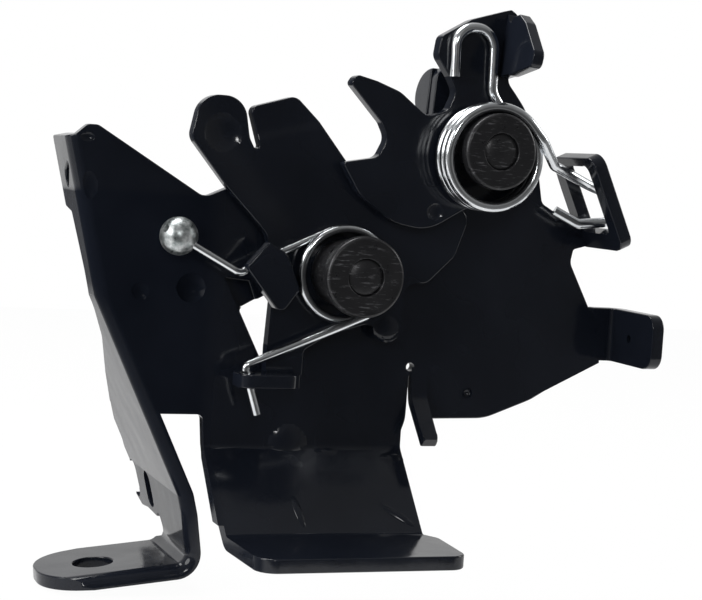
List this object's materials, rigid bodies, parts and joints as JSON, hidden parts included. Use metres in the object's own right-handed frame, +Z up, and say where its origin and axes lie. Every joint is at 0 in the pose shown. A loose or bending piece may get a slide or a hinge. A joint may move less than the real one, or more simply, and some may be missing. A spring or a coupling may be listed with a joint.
{
  "type": "grille latch",
  "caption": "Folded-plate bonnet latch: a rotary claw and a pawl on shouldered rivets with spring bushes, two wound torsion springs, two feet and folded side flanges.",
  "frame": {"origin": "centre of the mounting hole in the left foot, on the foot's upper face", "axes": "+X to the right seen from the claw side, parallel to the base plate, +Y away from that viewer, square to the base plate, +Z up, square to the centre foot"},
  "size_m": [0.1344, 0.0857, 0.1325],
  "materials": {
    "black_coat": "gloss",
    "black_steel": "satin",
    "zinc_wire": "bright",
    "zinc_stud": "mottled"
  },
  "bodies": {
    "base": {"base_plate": "black_coat", "claw_rivet": "black_steel", "pawl_rivet": "black_steel", "claw_bush": "black_steel", "pawl_bush": "black_steel", "claw_spring": "zinc_wire", "pawl_spring": "zinc_wire", "spring_anchor": "zinc_stud"},
    "claw": {"claw": "black_coat"},
    "pawl": {"pawl": "black_coat"}
  },
  "joints": [
    {"name": "claw_pivot", "type": "hinge", "parent": "base", "child": "claw", "pos_m": [0.0765, -0.0234, 0.0968], "axis": [0, 1, 0], "range_deg": [0, 45], "deforming": ["claw_spring"]},
    {"name": "pawl_pivot", "type": "hinge", "parent": "base", "child": "pawl", "pos_m": [0.0473, -0.0194, 0.0684], "axis": [0, 1, 0], "range_deg": [-18, 0], "stiffness_Nm_per_rad": 0.3, "springref_deg": 34.38, "deforming": ["pawl_spring"]}
  ]
}
